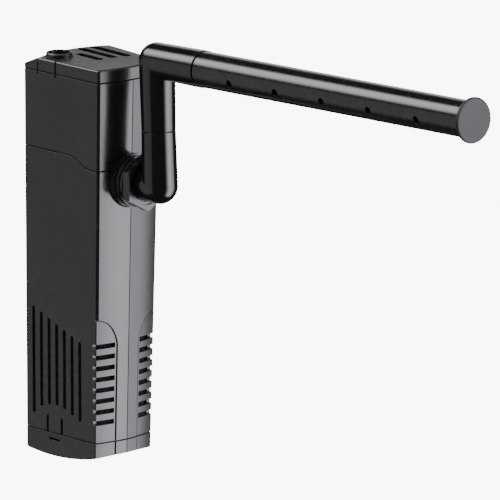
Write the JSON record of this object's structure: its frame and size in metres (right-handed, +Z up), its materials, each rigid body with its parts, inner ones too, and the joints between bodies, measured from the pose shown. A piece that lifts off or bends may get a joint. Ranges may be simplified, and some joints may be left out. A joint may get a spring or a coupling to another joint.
{
  "type": "internal power filter",
  "caption": "Slim submersible aquarium filter: wedge shaped media canister, magnet drive pump head, and a swivelling elbow outlet with a long perforated spray bar.",
  "frame": {"origin": "centre of the upper suction cup's flat face, on the glass plane", "axes": "+Z up, +Y towards the glass that the filter hangs on, +X to the right seen from the spray bar's side of the tank, with the outlet pointing to -Y"},
  "size_m": [0.0524, 0.277, 0.2059],
  "materials": {
    "casing_black": "satin moulded black ABS with a fine grain",
    "ceramic_white": "ground ceramic",
    "copper_wire": "enamelled copper winding",
    "ferrite": "sintered ferrite magnet",
    "outlet_black": "smooth black pipe plastic",
    "resin": "dark potting resin",
    "soft_rubber": "soft black rubber",
    "sponge": "open cell black filter foam",
    "steel_sheet": "stacked silicon steel laminations",
    "white_plastic": "white engineering plastic"
  },
  "bodies": {
    "pump": {"pump_head": "casing_black", "stator_laminations": "steel_sheet", "coil_bobbin": "white_plastic", "coil_winding": "copper_wire", "potting_resin": "resin", "impeller_shaft": "ceramic_white", "rear_shaft_bush": "soft_rubber", "front_shaft_bush": "soft_rubber", "impeller_cover": "casing_black", "cover_o_ring": "soft_rubber", "cable_gland": "soft_rubber", "outlet_seal": "soft_rubber", "outlet_collar": "casing_black", "upper_suction_cup": "soft_rubber"},
    "rotor": {"rotor_magnet": "ferrite", "impeller": "white_plastic"},
    "cover": {"top_cover": "casing_black"},
    "flow_control": {"flow_knob": "casing_black", "valve_spindle": "white_plastic", "inlet_shutter": "white_plastic"},
    "media_canister": {"canister": "casing_black", "filter_sponge": "sponge", "strainer_tube": "casing_black", "lower_suction_cup": "soft_rubber"},
    "foot": {"bottom_cap": "casing_black"},
    "union_nut": {"outlet_nut": "casing_black"},
    "elbow_low": {"lower_elbow": "outlet_black"},
    "elbow_high": {"upper_elbow": "outlet_black"},
    "bar": {"spray_bar": "outlet_black"},
    "bar_plug": {"bar_end_cap": "outlet_black"}
  },
  "joints": [
    {"name": "impeller_spin", "type": "hinge", "parent": "pump", "child": "rotor", "pos_m": [0, -0.0325, -0.014], "axis": [0, 0, 1], "continuous": true},
    {"name": "cover_lift", "type": "slide", "parent": "pump", "child": "cover", "axis": [0, 0, 1], "range_m": [0, 0.03]},
    {"name": "flow_knob_turn", "type": "hinge", "parent": "pump", "child": "flow_control", "pos_m": [-0.012, -0.0225, 0.023], "axis": [0, 0, 1], "range_deg": [-55, 0]},
    {"name": "canister_pull", "type": "slide", "parent": "pump", "child": "media_canister", "axis": [0, 0, -1], "range_m": [0, 0.12]},
    {"name": "foot_pull", "type": "slide", "parent": "media_canister", "child": "foot", "axis": [0, 0, -1], "range_m": [0, 0.03]},
    {"name": "nut_turn", "type": "hinge", "parent": "pump", "child": "union_nut", "pos_m": [0, -0.0772, -0.02789], "axis": [0, -0.999, 0.0436], "continuous": true},
    {"name": "outlet_swivel", "type": "hinge", "parent": "pump", "child": "elbow_low", "pos_m": [0, -0.0772, -0.02789], "axis": [0, -0.999, 0.0436], "continuous": true},
    {"name": "riser_swivel", "type": "hinge", "parent": "elbow_low", "child": "elbow_high", "pos_m": [0, -0.0772, -0.02789], "axis": [0, 0.0436, 0.999], "range_deg": [-110, 110]},
    {"name": "bar_roll", "type": "hinge", "parent": "elbow_high", "child": "bar", "pos_m": [0, -0.07474, 0.02845], "axis": [0, -0.999, 0.0436], "continuous": true},
    {"name": "plug_pull", "type": "slide", "parent": "bar", "child": "bar_plug", "axis": [0, -0.999, 0.0436], "range_m": [0, 0.02]}
  ]
}
